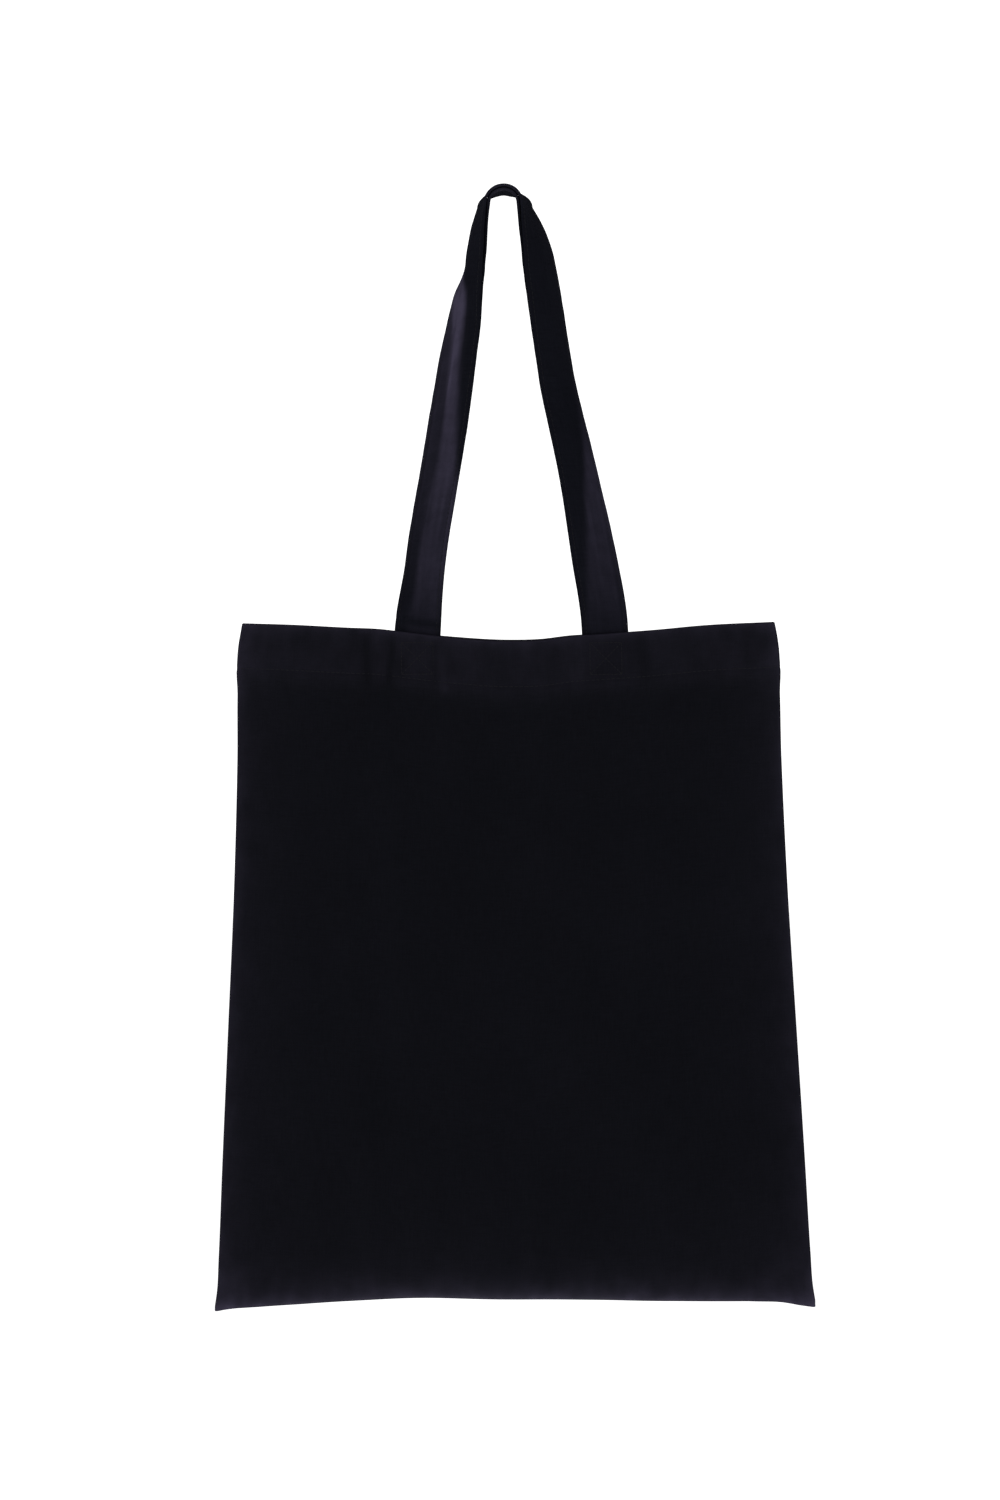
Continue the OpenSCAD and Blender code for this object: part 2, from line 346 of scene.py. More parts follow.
def facesOutward(points, faces, outward):
    # turns the faces round if they look the wrong way
    a, b, c = (points[faces[:, i]] for i in (0, 1, 2))
    toward = np.einsum("ij,ij->i", np.cross(b - a, c - a), outward[faces[:, 0]]).sum()
    return faces if toward > 0 else faces[:, ::-1]


def plug(tree, node, inputs):
    # links or plain values for a node's inputs
    for socket, value in inputs.items():
        if isinstance(value, bpy.types.NodeSocket):
            tree.links.new(value, node.inputs[socket])
        else:
            node.inputs[socket].default_value = value


def addNode(tree, kind, inputs=None, **settings):
    made = tree.nodes.new(kind)
    for key, value in settings.items():
        setattr(made, key, value)
    plug(tree, made, inputs or {})
    return made


def compute(tree, operation, a, b=0.0, c=0.0):
    return addNode(tree, "ShaderNodeMath", {0: a, 1: b, 2: c}, operation=operation).outputs[0]


def noiseAt(tree, vector, scale, detail=2.0, rough=0.5):
    inputs = {"Vector": vector, "Scale": scale, "Detail": detail, "Roughness": rough}
    return addNode(tree, "ShaderNodeTexNoise", inputs).outputs[0]


def mixColour(tree, share, a, b, kind="MIX"):
    made = addNode(tree, "ShaderNodeMix", data_type="RGBA", blend_type=kind)
    plug(tree, made, {0: share, 6: a, 7: b})
    return made.outputs[2]


def newMaterial(name):
    made = bpy.data.materials.new(name)
    made.use_nodes = True
    return made, made.node_tree, made.node_tree.nodes["Principled BSDF"]


fabric = {
    "yarnPitch": 0.62,           # millimetres from one yarn to the next
    "yarnHeight": 0.16,
    "slub": 0.28,                # how uneven the yarns are
    "lintScale": 5200.0,         # noise scales, per metre
    "crumpleScale": 110.0,
    "crumpleHeight": 0.9,
    "patchScale": 14.0,
    "rough": 0.72,
    "dye": (0.0045, 0.0048, 0.0071),
    "dyePale": (0.0055, 0.0058, 0.0086),
    # pale colour for rubbed wear and for painted sheen and highlights
    "wornAndSheen": (0.060, 0.053, 0.087),
}


def canvasMaterial(name, tone=1.0, specular=0.03, pitch=1.0):
    made, tree, shader = newMaterial(name)
    place = addNode(tree, "ShaderNodeUVMap", uv_map="flat").outputs[0]
    across = addNode(tree, "ShaderNodeSeparateXYZ", {0: place})
    perYarn = 1 / (fabric["yarnPitch"] * pitch * mm)
    warpAt = compute(tree, "MULTIPLY", across.outputs[0], perYarn)
    weftAt = compute(tree, "MULTIPLY", across.outputs[1], perYarn)
    # each yarn wanders and swells a little along its length
    slowWarp = compute(tree, "MULTIPLY", warpAt, 0.05)
    slowWeft = compute(tree, "MULTIPLY", weftAt, 0.05)
    alongWarp = addNode(tree, "ShaderNodeCombineXYZ", {0: warpAt, 1: slowWeft})
    alongWeft = addNode(tree, "ShaderNodeCombineXYZ", {0: slowWarp, 1: weftAt, 2: 9.0})
    warpSlub = noiseAt(tree, alongWarp.outputs[0], 0.9)
    weftSlub = noiseAt(tree, alongWeft.outputs[0], 0.9)

    def yarnWave(at, slub):
        wandered = compute(tree, "MULTIPLY_ADD", slub, fabric["slub"], at)
        return compute(tree, "SINE", compute(tree, "MULTIPLY", wandered, math.pi))

    warpWave = yarnWave(warpAt, warpSlub)
    weftWave = yarnWave(weftAt, weftSlub)
    warpUp = compute(tree, "GREATER_THAN", compute(tree, "MULTIPLY", warpWave, weftWave), 0.0)
    warpRound = compute(tree, "ABSOLUTE", warpWave)
    weftRound = compute(tree, "ABSOLUTE", weftWave)
    warpYarn = compute(tree, "MULTIPLY", warpRound, compute(tree, "SQRT", weftRound))
    weftYarn = compute(tree, "MULTIPLY", weftRound, compute(tree, "SQRT", warpRound))
    warpMinusWeft = compute(tree, "SUBTRACT", warpYarn, weftYarn)
    weave = compute(tree, "MULTIPLY_ADD", warpUp, warpMinusWeft, weftYarn)
    lint = noiseAt(tree, place, fabric["lintScale"], 3.0, 0.65)
    crumple = noiseAt(tree, place, fabric["crumpleScale"], 4.0, 0.55)
    patch = noiseAt(tree, place, fabric["patchScale"], 3.0, 0.5)
    height = compute(tree, "MULTIPLY_ADD", lint, 0.35, weave)
    yarnHeight = fabric["yarnHeight"] * pitch * mm
    crumpleHeight = fabric["crumpleHeight"] * mm
    fine = addNode(tree, "ShaderNodeBump", {"Height": height, "Distance": yarnHeight, "Strength": 0.85})
    broad = addNode(tree, "ShaderNodeBump", {
        "Height": crumple, "Distance": crumpleHeight, "Strength": 0.5, "Normal": fine.outputs[0]})
    # dye: uneven patches; painted shade between the yarns; paler where the wear-and-sheen share is high,
    # which is painted sheen and highlights with some rubbed wear
    dark = [value * tone for value in fabric["dye"]] + [1]
    pale = [value * tone for value in fabric["dyePale"]] + [1]
    wornAndSheen = list(fabric["wornAndSheen"]) + [1]
    dyed = mixColour(tree, compute(tree, "MULTIPLY_ADD", patch, 2.2, -0.6), dark, pale)
    slubTone = compute(tree, "MULTIPLY_ADD", compute(tree, "ADD", warpSlub, weftSlub), 0.5, 0.5)
    # painted shade between the yarns, times the yarns' uneven tone
    shade = compute(tree, "MULTIPLY", compute(tree, "MULTIPLY_ADD", weave, 0.55, 0.62), slubTone)
    grey = addNode(tree, "ShaderNodeCombineColor", {0: shade, 1: shade, 2: shade})
    dyed = mixColour(tree, 1.0, dyed, grey.outputs[0], "MULTIPLY")
    rubbedAndSheen = addNode(tree, "ShaderNodeAttribute", attribute_name="wearAndSheen").outputs["Fac"]
    # the painted sheen shows most on the yarns' tops
    rubbedAndSheen = compute(tree, "MULTIPLY", rubbedAndSheen, compute(tree, "MULTIPLY_ADD", weave, 0.6, 0.65))
    uneven = compute(tree, "MULTIPLY_ADD", crumple, 1.0, 0.5)
    dyed = mixColour(tree, compute(tree, "MULTIPLY", rubbedAndSheen, uneven), dyed, wornAndSheen)
    plug(tree, shader, {
        "Normal": broad.outputs[0],
        "Base Color": dyed,
        "Roughness": compute(tree, "MULTIPLY_ADD", crumple, 0.16, fabric["rough"]),
        "Specular IOR Level": specular,
        "Sheen Weight": 0.02,
        "Sheen Roughness": 0.3,
        "Sheen Tint": (0.80, 0.80, 1.0, 1),
    })
    return made


def threadMaterial(name, tone):
    made, tree, shader = newMaterial(name)
    place = addNode(tree, "ShaderNodeTexCoord").outputs["Object"]
    twist = addNode(tree, "ShaderNodeTexWave", {"Vector": place, "Scale": 620.0, "Distortion": 2.0},
                    bands_direction="DIAGONAL").outputs[1]
    fuzz = noiseAt(tree, place, 900.0, 3.0)
    bump = addNode(tree, "ShaderNodeBump", {"Height": twist, "Distance": 0.05 * mm, "Strength": 0.8})
    dark = (0.0062 * tone, 0.0062 * tone, 0.0090 * tone, 1)
    pale = (0.0088 * tone, 0.0088 * tone, 0.0125 * tone, 1)
    plug(tree, shader, {
        "Normal": bump.outputs[0],
        "Base Color": mixColour(tree, fuzz, dark, pale),
        "Roughness": compute(tree, "MULTIPLY_ADD", fuzz, 0.3, 0.45),
        "Specular IOR Level": 0.12,
        "Sheen Weight": 0.02,
    })
    return made


canvas = canvasMaterial("blackCanvas")
liningCanvas = canvasMaterial("blackCanvasEdges", tone=1.25)
strapCanvas = canvasMaterial("blackStrapCanvas", tone=1.55, specular=0.0, pitch=0.9)
thread = threadMaterial("blackThread", 0.62)
overlockThread = threadMaterial("blackOverlockThread", 1.4)
print("materials made")


def spread(breaks, steps):
    # places along a line, closer together in some stretches than in others
    found = [np.linspace(a, b, n, endpoint=False) for a, b, n in zip(breaks[:-1], breaks[1:], steps)]
    return np.concatenate(found + [[breaks[-1]]])


panelAcross = spread((-1, -0.97, -0.88, 0.88, 0.97, 1), (8, 14, 150, 14, 8))
panelDown = spread((0, 0.02, 0.09, 0.9, 0.97, 1), (8, 24, 76, 14, 14))
curlAngles = np.radians([22, 45, 68, 90, 115, 145, 180])
foldSteps = {"hem": 8, "under": 5}


edgeWearAndSheen = {
    # share of the paler colour, which paints sheen along the edges and light from the floor on the bottom
    # band, with some rubbed wear, and how far it reaches in from the edge in millimetres
    "bottom": (0.36, 6),
    "bottomFar": (0.045, 22),
    "side": (0.10, 4),
    "sideFar": (0.05, 20),
    "mouth": (0.12, 3),
    "corner": (0.18, 12),
    "hem": 0.05,                 # the share all over the hem
    "halfWidth": 180,            # the panel's usual half width and height, to measure from its edges
    "height": 425,
    "mouthHalf": 171,
    "seed": {"front": 61, "back": 67},
}


def edgeWearAndSheenShare(side, s, v):
    depth = depthBelow(side, s, v) / mm
    aside = (1 - np.abs(s)) * edgeWearAndSheen["halfWidth"]
    above = (1 - v) * edgeWearAndSheen["height"]
    x = s * edgeWearAndSheen["halfWidth"]
    seed = edgeWearAndSheen["seed"][side]

    def reach(name, distance):
        share, far = edgeWearAndSheen[name]
        return share * np.exp(-distance / far)

    blotches = 1 + 0.5 * softNoise(x, depth, 16, seed) + 0.35 * softNoise(x, depth * 0.4, 6, seed + 1)
    # the tugs' paleness column: painted shade in the folds' hollows, painted highlight on their ridges
    tug = tugAt(side, s * edgeWearAndSheen["mouthHalf"], depth, 3)
    # painted sheen and painted floor light: paler near the bottom, sides, corners and mouth, and a little
    # over the hem; partly rubbed wear too
    total = edgeWearAndSheen["hem"] * (1 - smooth((depth - 26) / 14)) * (1 + tug)
    total += reach("bottom", above) + reach("bottomFar", above) + reach("mouth", depth)
    total += reach("side", aside) + reach("sideFar", aside) + reach("corner", np.hypot(aside, above))
    return np.clip(total * blotches, 0, 1)


def panelMesh(side, name):
    # the outer layer, whose side and bottom edges curl inward to the seams
    facing = sideOf[side]
    nothing = np.zeros(len(curlAngles))
    across = np.concatenate([nothing - 1, panelAcross, nothing + 1])
    turnSide = np.concatenate([-curlAngles[::-1], np.zeros(len(panelAcross)), curlAngles])
    down = np.concatenate([panelDown, nothing + 1])
    turnDown = np.concatenate([np.zeros(len(panelDown)), curlAngles])
    s, v = np.meshgrid(across, down)
    aroundSide, aroundBottom = np.meshgrid(turnSide, turnDown)
    points = clothPoint(side, s, v)[0]
    reach = (np.abs(points[..., 1]) - cloth["seamLayer"] * mm) / 2
    points[..., 0] += reach * np.sin(aroundSide) * np.cos(aroundBottom / 2)
    points[..., 2] -= reach * np.sin(aroundBottom) * np.cos(aroundSide / 2)
    turned = np.maximum(np.abs(aroundSide), aroundBottom)
    points[..., 1] -= facing * reach * (1 - np.cos(turned))
    rows, columns = s.shape
    depth = depthBelow(side, s, v)
    cut = bag["halfWidth"][-1]
    flat = np.stack([s * cut * mm + aroundSide * 0.5 * mm, -depth - aroundBottom * 0.5 * mm], -1)
    wearAndSheen = edgeWearAndSheenShare(side, s, v)
    outer = gridFaces(rows, columns)

    # the hem goes over the mouth's edge, down inside, and is turned under at its end
    layer = (cloth["thickness"] + cloth["gap"]) * mm
    along = panelAcross
    path = []
    for angle in np.linspace(0, math.pi, foldSteps["hem"] + 1)[1:]:
        path.append((0.0, layer * (1 - math.cos(angle)), layer * math.sin(angle)))
    hemDepth = cloth["hemDepth"] * mm
    for down in spread((0, 0.2, 0.85, 1), (3, 9, 6))[1:]:
        path.append((down * hemDepth, 2 * layer, 0.0))
    for angle in np.linspace(0, math.pi, foldSteps["under"] + 1)[1:]:
        inward = 2 * layer - layer / 2 * (1 - math.cos(angle))
        path.append((hemDepth, inward, -layer / 2 * math.sin(angle)))
    for up in (0.25, 0.5, 0.75, 1):
        path.append((hemDepth - up * cloth["turnedUnder"] * mm, layer, 0.0))
    hemRows, hemFlat = [], []
    unrolled = 0.0
    last = np.zeros(3)
    for below, inward, over in path:
        share = np.full(len(along), below) / heightAt(side, along)
        place, out = clothPoint(side, along, share)
        ripple = softNoise(along * cut, np.full(len(along), below / mm), 12, 21) * 0.25 * mm
        lift = -inward + ripple * smooth(inward / (2 * layer)) * smooth(below / (8 * mm))
        hemRows.append(place + out * lift[:, None] + np.array([0, 0, over]))
        now = np.array([below, inward, over])
        unrolled += np.linalg.norm(now - last)
        last = now
        hemFlat.append(np.stack([along * cut * mm, np.full(len(along), unrolled)], -1))
    # over the curled sides the fold closes like a dome
    folds, start = foldSteps["hem"], len(curlAngles)
    end = start + len(along)
    leftCurl, rightCurl = slice(0, start), slice(end, columns)
    foldRows, foldFlat = [], []
    for j, angle in enumerate(np.linspace(0, math.pi, folds + 1)[1:]):
        closing = 0.88 * (1 - math.cos(angle)) / 2
        height = np.array([0, 0, layer * math.sin(angle)])
        ends = []
        for edge, curl in ((start, leftCurl), (end - 1, rightCurl)):
            middle = points[0, edge] - np.array([0, facing * reach[0, edge], 0])
            ends.append(points[0, curl] * (1 - closing) + middle * closing + height)
        foldRows.append(np.concatenate([ends[0], hemRows[j], ends[1]]))
        beyond = [flat[0, curl] + [0, layer * angle] for curl in (leftCurl, rightCurl)]
        foldFlat.append(np.concatenate([beyond[0], hemFlat[j], beyond[1]]))
    foldIndex = np.arange(folds * columns).reshape(folds, columns) + rows * columns
    innerCount = len(path) - folds
    innerIndex = np.arange(innerCount * len(along)).reshape(-1, len(along)) + (rows + folds) * columns
    overMouth = np.vstack([np.arange(columns), foldIndex])
    downInside = np.vstack([foldIndex[-1, start:end], innerIndex])
    hemFaces = [ladder.ravel()[gridFaces(*ladder.shape)[:, ::-1]] for ladder in (overMouth, downInside)]
    allPoints = np.concatenate([points.reshape(-1, 3), *foldRows, *hemRows[folds:]])
    allFlat = np.concatenate([flat.reshape(-1, 2), *foldFlat, *hemFlat[folds:]])
    # painted highlight along the fold over the mouth's edge
    foldHighlight = np.full(folds * columns, 0.25)
    allWearAndSheen = np.concatenate([wearAndSheen.ravel(), foldHighlight, np.zeros(innerCount * len(along))])
    outward = np.broadcast_to([0, facing, 0], points.shape).reshape(-1, 3)
    faces = np.vstack([outer] + hemFaces)
    if (facesOutward(points.reshape(-1, 3), outer, outward) != outer).any():
        faces = faces[:, ::-1]
    made = makeMesh(name, allPoints, faces.tolist(), allFlat, allWearAndSheen)
    made.data.materials.append(canvas)
    thicken(made, cloth["thickness"] * mm)
    return made


def settleDrape():
    # both panels hang from the hem as one cloth and take up its spare width
    columns, rows = drape["columns"], drape["rows"]
    s, v = np.meshgrid(np.linspace(-1, 1, columns), np.linspace(0, 1, rows))
    still = {side: plainSurface(side, s, v) for side in sideOf}
    count = rows * columns
    points = np.concatenate([still["front"].reshape(-1, 3), still["back"].reshape(-1, 3)])
    shared = np.arange(2 * count)
    joined = ((np.abs(s) > 0.999) | (v > 0.999)).ravel()
    points[:count][joined, 1] = 0
    shared[count:][joined] = np.arange(count)[joined]
    faces = np.vstack([gridFaces(rows, columns), gridFaces(rows, columns)[:, ::-1] + count])
    kept, order = np.unique(shared, return_inverse=True)
    faces = order[faces]
    mesh = bpy.data.meshes.new("drape")
    mesh.from_pydata(points[kept].tolist(), [], faces.tolist())
    hanging = addObject("drape", mesh)
    depth = np.concatenate([depthBelow(side, s, v).ravel() for side in sideOf])[kept] / mm
    held = hanging.vertex_groups.new(name="held")
    fixed = 1 - smooth((depth - cloth["hemDepth"]) / 30)
    edges = np.concatenate([joined, joined])[kept]
    for i in range(len(kept)):
        held.add([i], 1.0 if edges[i] else float(fixed[i]), "REPLACE")
    hanging.shape_key_add(name="Basis")
    cut = hanging.shape_key_add(name="cut")
    wide = points[kept].copy()
    wide[:, 0] *= 1 + drape["spareWidth"]
    cut.data.foreach_set("co", wide.astype(np.float32).ravel())
    motion = hanging.modifiers.new("drape", "CLOTH")
    for key, value in drape["cloth"].items():
        setattr(motion.settings, key, value)
    motion.settings.rest_shape_key = cut
    motion.collision_settings.use_collision = False
    scene = bpy.context.scene
    motion.point_cache.frame_start = 1
    motion.point_cache.frame_end = drape["frames"]
    for moment in range(1, drape["frames"] + 1):
        scene.frame_set(moment)
    settled = hanging.evaluated_get(bpy.context.evaluated_depsgraph_get()).to_mesh()
    found = np.zeros(len(kept) * 3, np.float32)
    settled.vertices.foreach_get("co", found)
    moved = (found.reshape(-1, 3).astype(float) - points[kept])[order]
    scene.frame_set(1)
    bpy.data.objects.remove(hanging)
    for i, side in enumerate(sideOf):
        drapeField[side] = moved[i * count:(i + 1) * count].reshape(rows, columns, 3)
    largest = max(np.abs(field).max() for field in drapeField.values())
    print(f"drape settled, moved at most {largest / mm:.1f} mm")


settleDrape()
panels = {side: panelMesh(side, side + "Panel") for side in sideOf}
print("panels made")
for side in sideOf:
    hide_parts(side + "_panel", side + "_hem")
    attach(panels[side], "bag")


allowance = {
    "width": 10,
    "thickness": 0.74,
    "waver": 0.35,
}


def twoLayers(name, place, flat):
    # two layers back to back, from a grid of points in the middle plane
    rows, columns = place.shape[:2]
    free = np.linspace(0, 1, columns)[None, :] ** 2
    sway = softNoise(flat[..., 1] / mm, flat[..., 0] / mm, 30, 5) * allowance["waver"] * mm * free
    points, layers = [], {}
    for facing in (-1, 1):
        layer = place.copy()
        splay = np.abs(softNoise(flat[..., 1] / mm, flat[..., 0] / mm, 18, 8 + facing))
        splay = splay * 0.25 * mm * free
        layer[..., 1] = sway + facing * (cloth["seamLayer"] * mm + splay)
        points.append(layer.reshape(-1, 3))
        layers[facing] = layer
    faces = gridFaces(rows, columns)
    front = facesOutward(points[0], faces, np.broadcast_to([0, -1, 0], points[0].shape))
    faces = np.vstack([front, front[:, ::-1] + rows * columns]).tolist()
    bothFlat = np.concatenate([flat.reshape(-1, 2)] * 2)
    made = makeMesh(name, np.concatenate(points), faces, bothFlat, np.full(2 * rows * columns, 0.15))
    made.data.materials.append(liningCanvas)
    thicken(made, allowance["thickness"] * mm)
    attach(made, "bag")
    return made, layers


def sideAllowancePlace(hand):
    sign = -1 if hand == "left" else 1
    v = np.linspace(0.001, 0.999, 150)
    inward = np.linspace(0, allowance["width"] * mm, 8)
    s = np.full(len(v), sign)
    edge = (plainSurface("front", s, v) + plainSurface("back", s, v)) / 2
    place = np.zeros((len(v), len(inward), 3))
    place[..., 0] = edge[:, None, 0] - sign * inward[None, :]
    place[..., 2] = edge[:, None, 2]
    flat = np.stack([np.broadcast_to(inward, place.shape[:2]), place[..., 2]], -1)
    return place, flat


def bottomAllowancePlace():
    s = np.linspace(-1, 1, 190)
    inset = (bag["halfWidth"][-1] - allowance["width"] - 0.8) * mm
    inward = np.linspace(0, allowance["width"] * mm, 8)
    place = np.zeros((len(s), len(inward), 3))
    place[..., 0] = s[:, None] * inset
    place[..., 2] = bottomEdgeZ(s * inset / (bag["halfWidth"][-1] * mm))[:, None] + inward[None, :]
    flat = np.stack([np.broadcast_to(inward, place.shape[:2]), place[..., 0]], -1)
    return place, flat


allowances, rawEdges = {}, {}
for hand in ("left", "right", "bottom"):
    place, flat = bottomAllowancePlace() if hand == "bottom" else sideAllowancePlace(hand)
    allowances[hand], rawEdges[hand] = twoLayers(hand + "SeamAllowance", place, flat)
    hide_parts(hand + "_seam_allowance")
print("seam allowances made")


strap = {
    "halfWidth": 14.5,
    "thickness": 2.0,
    "stitchInset": 2.5,
    "rounding": 3.5,             # half the width of the soft fold along the middle
    "crownRadius": 10.05,        # the middle between the two straps where they go over the peg
    "nesting": 1.15,             # each strap's distance from that middle
    "hemY": 12.5,
    "crownLift": 0.25,           # over the peg the front strap's front edge stands up
    "crownLean": 0.3,            # and its back edge leans on the other strap
    "together": 70,              # how far below the peg the straps part
    "standOff": 2.1,             # the inner edges keep this much more apart over the peg
    "samples": 97,               # steps across the width when its slants are added up
    "hemFrom": 238,              # depth where the ends start to bend to the hem, and how soon they lie flat
    "hemOver": 30,
    "hemAt": 262,
    "seed": {"front": 31, "back": 37},
    "waveSeed": {"front": 41, "back": 47},
    # depth below the peg's axis, place of the inner edge, and slants of the two halves of the width
    "depths": (0, 14, 27, 42, 57, 75, 95, 118, 141, 164, 186, 209, 232, 247, 262, 275, 305),
    "right": {
        "inner": (8, 8.9, 10.2, 11.5, 13.5, 16, 19, 22.5, 27.2, 31.8, 35.6, 38.8, 42.1, 44.6, 46.5, 47.2,
                  47.4),
        "innerSlant": (8, 33, 46, 54, 57, 61, 63, 66, 68, 70, 73, 80, 86, 88, 90, 90, 90),
        "outerSlant": (20, 24, 29, 33, 34, 37, 40, 43, 45, 49, 56, 68, 82, 88, 90, 90, 90),
    },
    "left": {
        "inner": (8.3, 9.7, 10.5, 11.8, 13.3, 14.9, 17.8, 21.1, 24.6, 28.6, 32.6, 36.8, 39.9, 41.4, 42.4,
                  43.1, 43.2),
        "innerSlant": (7, 23, 33, 39, 50, 61, 67, 70, 73, 74, 75, 76, 77, 80, 85, 90, 90),
        "outerSlant": (12, 8, 6, 7, 23, 35, 43, 50, 53, 52, 52, 50, 53, 62, 77, 88, 90),
    },
}
crownLength = strap["crownRadius"] * mm * math.pi / 2


def strapPoint(side, q, a, lift):
    # q runs along the strap from the left end to the right one, with 0 at the top
    # a runs across it from the inner edge to the outer one, and lift goes out of its middle
    length = np.abs(q)
    depth = np.maximum(length - crownLength, 0)
    angle = np.minimum(length / crownLength, 1) * math.pi / 2
    legs = [[curveThrough(depth / mm, strap["depths"], strap[hand][key]) for hand in ("left", "right")]
            for key in ("inner", "innerSlant", "outerSlant")]
    inner, innerSlant, outerSlant = (np.where(q < 0, left, right) for left, right in legs)
    turning = smooth(angle / (math.pi / 2)) ** 2
    innerSlant = np.radians(innerSlant * turning)
    outerSlant = np.radians(outerSlant * turning)
    fine = np.linspace(-1, 1, strap["samples"]) * strap["halfWidth"] * mm
    toOuter = smooth((fine / mm + strap["rounding"]) / (2 * strap["rounding"]))
    slant = innerSlant[:, None] + (outerSlant - innerSlant)[:, None] * toOuter[None, :]
    step = fine[1] - fine[0]
    middle = len(fine) // 2

    def runningSum(values):
        total = np.zeros_like(values)
        total[:, 1:] = np.cumsum((values[:, 1:] + values[:, :-1]) / 2 * step, axis=1)
        return total

    outward = runningSum(np.sin(slant))
    sideways = runningSum(np.cos(slant))
    sideways -= sideways[:, middle:middle + 1]
    near = smooth(np.exp(-(depth / (strap["together"] * mm)) ** 2) * 1.6)
    nest = strap["nesting"] * mm * -sideOf[side] * near
    start = inner * mm + strap["standOff"] * mm * np.cos(innerSlant) * near
    start = strap["crownRadius"] * mm + (start - strap["crownRadius"] * mm) * turning
    at = np.interp(a, fine, np.arange(len(fine)))
    low = np.clip(np.floor(at).astype(int), 0, len(fine) - 2)
    share = at - low

    def pick(values):
        return values[:, low] * (1 - share) + values[:, low + 1] * share

    slanted = pick(slant)
    across = a / (strap["halfWidth"] * mm)
    stand = np.where(across < 0, strap["crownLift"], -strap["crownLean"]) * across ** 2
    stand = stand * (1 - smooth(length / crownLength - 0.4))[:, None] * mm
    up = lift + nest[:, None] + (stand if side == "front" else 0)
    radial = start[:, None] + pick(outward) + np.cos(slanted) * up
    y = pick(sideways) - np.sin(slanted) * up
    y = y + (sideOf[side] * strap["hemY"] * mm * np.minimum(depth / (strap["hemAt"] * mm), 1))[:, None]
    points = np.stack([
        np.sign(q)[:, None] * radial * np.sin(angle)[:, None],
        y,
        radial * np.cos(angle)[:, None] - depth[:, None],
    ], -1)
    normals = np.stack([
        np.sign(q)[:, None] * np.cos(slanted) * np.sin(angle)[:, None],
        -np.sin(slanted),
        np.cos(slanted) * np.cos(angle)[:, None],
    ], -1)
    # the ends lie flat against the inside of the hem
    inside = (hemInside + 0.05) * mm + strap["thickness"] / 2 * mm
    s = shareAcross(points[..., 0], points[..., 2])
    v = shareDown(side, s, points[..., 2])
    hemPlace = plainSurface(side, s, np.clip(v, 0, 1))[..., 1] - sideOf[side] * inside - lift
    toHem = smooth((-points[..., 2] / mm - strap["hemFrom"]) / strap["hemOver"])
    points[..., 1] += (hemPlace - points[..., 1]) * toHem
    return points, normals


def strapRows(side):
    # the strap's length from the top to the end inside the hem, on each leg
    ends = {}
    for hand, sign in (("left", -1), ("right", 1)):
        middle = strapPlace[hand] * mm
        s = shareAcross(np.array(middle), np.array(bag["mouthZ"]))
        ends[hand] = crownLength - (float(topZ(side, s)) - cloth["hemStitchDepth"] * mm + 0.6 * mm)
    left = np.linspace(-ends["left"], -crownLength, 190, endpoint=False)
    top = np.linspace(-crownLength, crownLength, 40, endpoint=False)
    right = np.linspace(crownLength, ends["right"], 191)
    return np.concatenate([left, top, right])


def strapThickness(side, q, a):
    # half of the strap's thickness: fuller between the stitch lines, and puckered beside them
    seed = strap["seed"][side]
    out = np.abs(a) / mm
    line = strap["halfWidth"] - strap["stitchInset"]
    q2, a2 = np.meshgrid(q / mm, a / mm, indexing="ij")
    half = strap["thickness"] / 2 - 0.22 * hump(out, line, 0.9) - 0.06 * smooth((out - line) / 2)
    half = half[None, :] * np.ones((len(q), 1))
    puckers = softNoise(q2, a2 * 0.35, 5.5, seed) * hump(np.abs(a2), line, 4)
    half += 0.13 * puckers + 0.10 * softNoise(q2, a2, 16, seed + 1)
    return half * mm


def bodyWave(side, q, a):
    # slow bends that both faces share
    seed = strap["waveSeed"][side]
    q2, a2 = np.meshgrid(q / mm, a / mm, indexing="ij")
    calm = smooth((np.abs(q2) - 20) / 40) * (1 - smooth((np.abs(q2) - 235) / 30))
    wave = (0.55 * softNoise(q2 * 0.35, a2, 13, seed) + 0.25 * softNoise(q2, a2, 9, seed + 1)) * calm
    crease = creaseAt(np.abs(q) / mm - crownLength / mm, a) * (q[:, None] < 0)
    return (wave - 0.5 * crease) * mm


paintedStrapSheen = {
    # painted highlight bands where light catches the straps' folds: where the band starts and ends across
    # the strap, from -1 at the inner edge to 1 at the outer one, how pale it is, and how pale the cloth
    # beyond it is (painted light too)
    "left": {
        "depths": (0, 25, 38, 54, 79, 105, 130, 155, 181, 206, 232, 251, 264),
        "start": (0.9, 0.85, 0.4, -0.15, -0.22, -0.28, -0.5, -0.7, -1.0, -1.2, -1.2, -1.2, -1.2),
        "end": (1.3, 1.3, 1.3, 1.0, 0.38, 0.25, 0.1, 0.05, 0.1, 0.15, 0.22, 0.3, 0.5),
        "pale": (0.0, 0.0, 0.5, 0.95, 0.95, 0.82, 0.67, 0.62, 0.56, 0.47, 0.39, 0.24, 0.16),
        "beyond": (0.05, 0.05, 0.3, 0.45, 0.4, 0.34, 0.29, 0.27, 0.25, 0.18, 0.1, 0.05, 0.0),
    },
    "right": {
        "depths": (0, 30, 79, 130, 155, 181, 206, 232, 251, 264),
        "start": (0.75, 0.8, 0.8, 0.7, 0.45, 0.05, -0.15, -0.45, -0.65, -0.8),
        "end": (1.3,) * 10,
        "pale": (0.05, 0.1, 0.08, 0.25, 0.42, 0.5, 0.44, 0.28, 0.22, 0.12),
        "beyond": (0,) * 10,
    },
}


